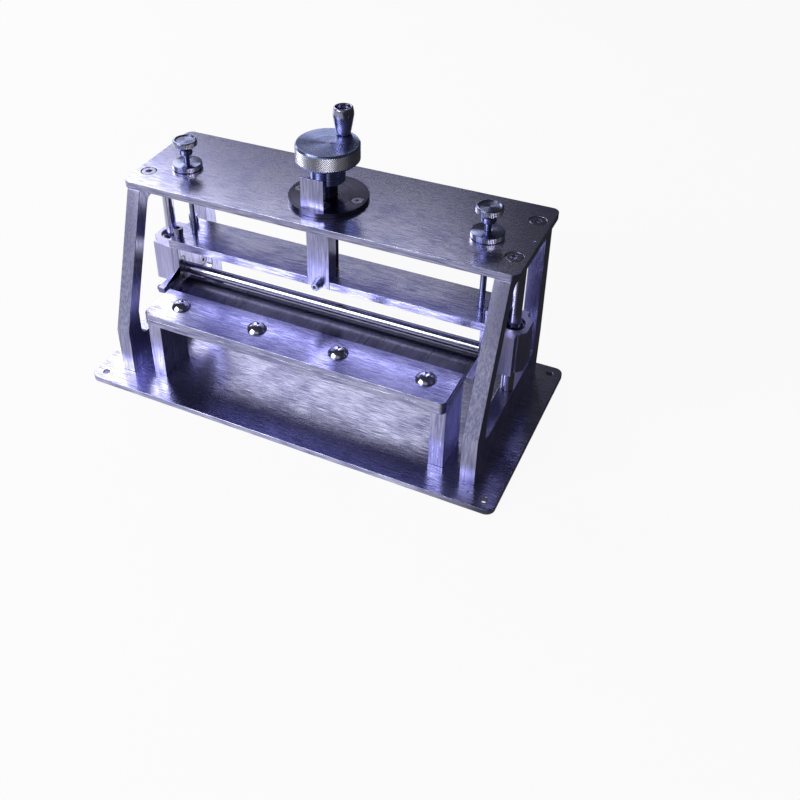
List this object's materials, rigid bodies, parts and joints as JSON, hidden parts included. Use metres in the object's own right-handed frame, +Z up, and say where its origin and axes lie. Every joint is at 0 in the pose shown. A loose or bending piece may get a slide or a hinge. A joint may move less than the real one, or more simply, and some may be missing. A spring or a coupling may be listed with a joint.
{
  "type": "leather splitting machine",
  "caption": "Bench leather splitter: fixed blade and clamp table under a roller beam that a handwheel raises along guide columns.",
  "frame": {"origin": "centre of the underside of the base plate", "axes": "+X along the machine's width to its right, +Y to its back, +Z up"},
  "size_m": [0.3, 0.15, 0.1965],
  "materials": {
    "brushed_plate": "fine straight brushing",
    "milled_frame": "brushed faces, sawn and milled edges",
    "bearing_block": "matt, extruded",
    "ground_shaft": "hardened and ground",
    "turned_steel": "turned, knurled rims",
    "polished_steel": "polished",
    "blade_steel": "ground, honed edge",
    "screw_steel": "plain stainless screws",
    "seal_rubber": "matt",
    "bronze": "sintered bronze"
  },
  "bodies": {
    "frame": {"base_plate": "brushed_plate", "side_frame_left": "milled_frame", "side_frame_right": "milled_frame", "frame_foot_screws": "screw_steel", "top_plate": "brushed_plate", "top_plate_screws": "screw_steel", "guide_column_left": "ground_shaft", "guide_column_right": "ground_shaft", "spindle_nut": "turned_steel", "spindle_nut_screws": "screw_steel", "index_plate": "polished_steel", "index_plate_screws": "screw_steel", "table_post_left": "milled_frame", "table_post_right": "milled_frame", "post_foot_screws": "screw_steel", "table_plate": "brushed_plate", "table_plate_screws": "screw_steel", "splitting_blade": "blade_steel", "blade_clamp_plate": "brushed_plate", "blade_clamp_screws": "polished_steel"},
    "lift": {"lift_beam": "brushed_plate", "beam_screws": "screw_steel", "beam_screw_sleeves": "turned_steel", "roller_bracket_left": "milled_frame", "roller_bracket_right": "milled_frame", "toe_screws": "screw_steel", "bearing_block_left": "bearing_block", "bearing_block_right": "bearing_block", "block_screws": "screw_steel", "linear_bearing_left": "ground_shaft", "linear_bearing_right": "ground_shaft", "bearing_seals": "seal_rubber", "bearing_circlips": "screw_steel", "roller_bush_left": "bronze", "roller_bush_right": "bronze", "travel_stop_bar": "polished_steel", "stop_bar_screw": "screw_steel", "stop_bar_nut": "turned_steel", "spindle_thrust_washer": "bronze", "clamping_rod_left": "turned_steel", "clamping_rod_right": "turned_steel"},
    "roller": {"roller": "ground_shaft"},
    "handwheel": {"lift_spindle": "turned_steel", "spindle_collar": "turned_steel", "collar_screw": "screw_steel", "handwheel": "turned_steel", "handwheel_grub_screw": "screw_steel", "crank_handle_pin": "screw_steel"},
    "crank_handle": {"crank_handle": "polished_steel"},
    "lock_nut_left": {"lock_nut_left": "turned_steel"},
    "lock_nut_right": {"lock_nut_right": "turned_steel"}
  },
  "joints": [
    {"name": "beam_lift", "type": "slide", "parent": "frame", "child": "lift", "axis": [0, 0, 1], "range_m": [-0.0018, 0.01]},
    {"name": "handwheel_turn", "type": "hinge", "parent": "lift", "child": "handwheel", "pos_m": [0, 0.011, 0.17], "axis": [0, 0, 1], "range_deg": [-648, 3600]},
    {"name": "roller_spin", "type": "hinge", "parent": "lift", "child": "roller", "pos_m": [0, 0.0035, 0.0604], "axis": [1, 0, 0], "continuous": true},
    {"name": "crank_handle_spin", "type": "hinge", "parent": "handwheel", "child": "crank_handle", "pos_m": [0.00388, 0.02549, 0.1895], "axis": [0, 0, 1], "continuous": true},
    {"name": "lock_nut_left_travel", "type": "slide", "parent": "frame", "child": "lock_nut_left", "axis": [0, 0, 1], "range_m": [0, 0.004]},
    {"name": "lock_nut_right_travel", "type": "slide", "parent": "frame", "child": "lock_nut_right", "axis": [0, 0, 1], "range_m": [0, 0.004]}
  ],
  "couplings": [
    {"joint": "handwheel_turn", "follows": "beam_lift", "rad_per_m": 6283.2}
  ]
}
